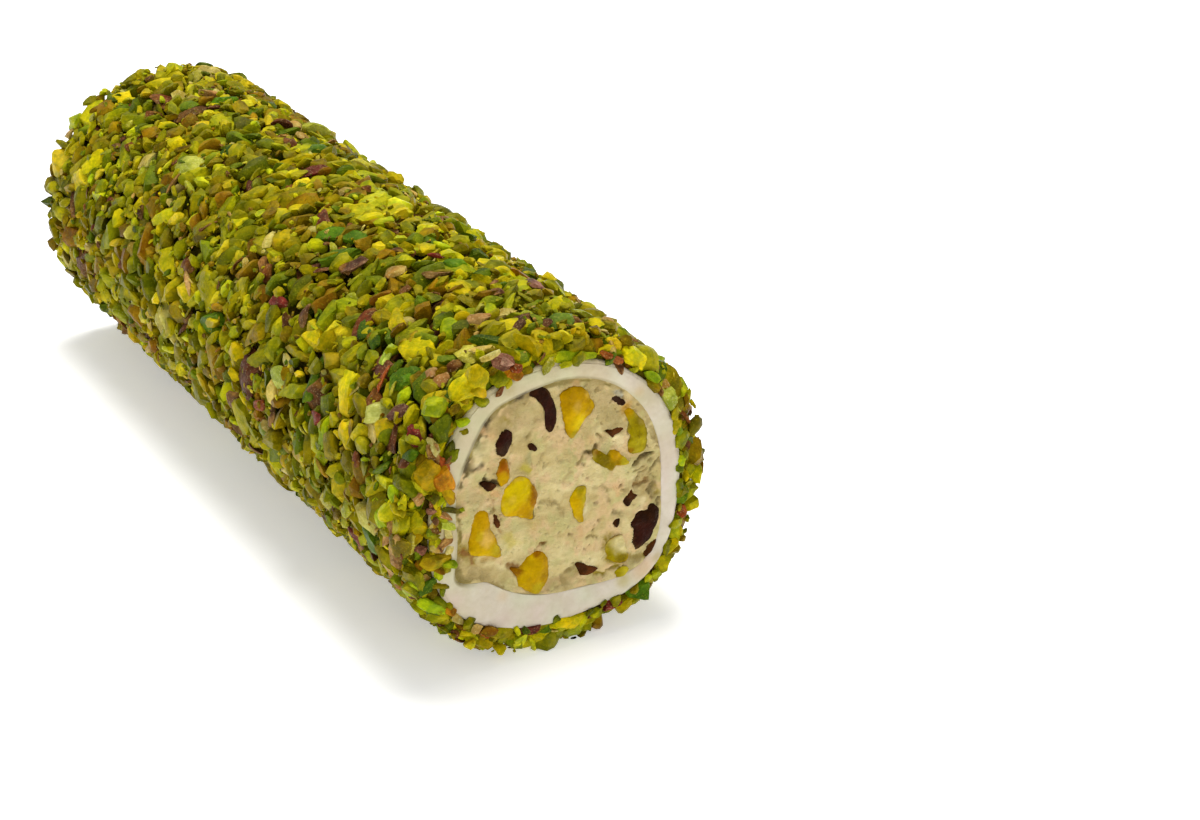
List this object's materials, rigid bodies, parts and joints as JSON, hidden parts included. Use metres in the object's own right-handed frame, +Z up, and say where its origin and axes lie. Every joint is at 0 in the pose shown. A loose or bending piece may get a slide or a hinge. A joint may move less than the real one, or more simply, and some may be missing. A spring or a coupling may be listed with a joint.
{
  "type": "turkish delight roll",
  "caption": "Short thick sweet roll, cut straight at both ends: nut-studded nougat in a soft white layer, coated all round with chopped pistachio.",
  "frame": {"origin": "middle of the flat strip that the roll rests on, on the ground", "axes": "+Y along the roll from its front cut face to its back one, +X across it, +Z up"},
  "size_m": [0.0454, 0.1362, 0.0448],
  "materials": {
    "chopped_pistachio": "broken nut pieces, yellow-green to dark green with purple-brown skins, slightly moist",
    "white_sweet": "smooth soft white sweet, faintly translucent",
    "nougat": "cream, porous and slightly crumbly where cut",
    "pistachio_kernel": "waxy cut nut, yellow to olive",
    "dark_chocolate": "dark maroon-brown, softly glossy"
  },
  "bodies": {
    "root": {"pistachio_coat": "chopped_pistachio", "white_layer": "white_sweet", "filling": "nougat", "pistachio_front_01": "pistachio_kernel", "pistachio_front_02": "pistachio_kernel", "pistachio_front_03": "pistachio_kernel", "pistachio_front_04": "pistachio_kernel", "pistachio_front_05": "pistachio_kernel", "pistachio_front_06": "pistachio_kernel", "pistachio_front_07": "pistachio_kernel", "pistachio_front_08": "pistachio_kernel", "pistachio_front_09": "pistachio_kernel", "pistachio_front_10": "pistachio_kernel", "chocolate_front_01": "dark_chocolate", "chocolate_front_02": "dark_chocolate", "chocolate_front_03": "dark_chocolate", "chocolate_front_04": "dark_chocolate", "chocolate_front_05": "dark_chocolate", "chocolate_front_06": "dark_chocolate", "chocolate_front_07": "dark_chocolate", "chocolate_front_08": "dark_chocolate", "chocolate_front_09": "dark_chocolate", "chocolate_front_10": "dark_chocolate", "chocolate_front_11": "dark_chocolate", "chocolate_front_12": "dark_chocolate", "pistachio_back_01": "pistachio_kernel", "pistachio_back_02": "pistachio_kernel", "pistachio_back_03": "pistachio_kernel", "pistachio_back_04": "pistachio_kernel", "pistachio_back_05": "pistachio_kernel", "pistachio_back_06": "pistachio_kernel", "pistachio_back_07": "pistachio_kernel", "pistachio_back_08": "pistachio_kernel", "pistachio_back_09": "pistachio_kernel", "chocolate_back_01": "dark_chocolate", "chocolate_back_02": "dark_chocolate", "chocolate_back_03": "dark_chocolate", "chocolate_back_04": "dark_chocolate", "chocolate_back_05": "dark_chocolate", "chocolate_back_06": "dark_chocolate", "chocolate_back_07": "dark_chocolate"}
  },
  "joints": []
}
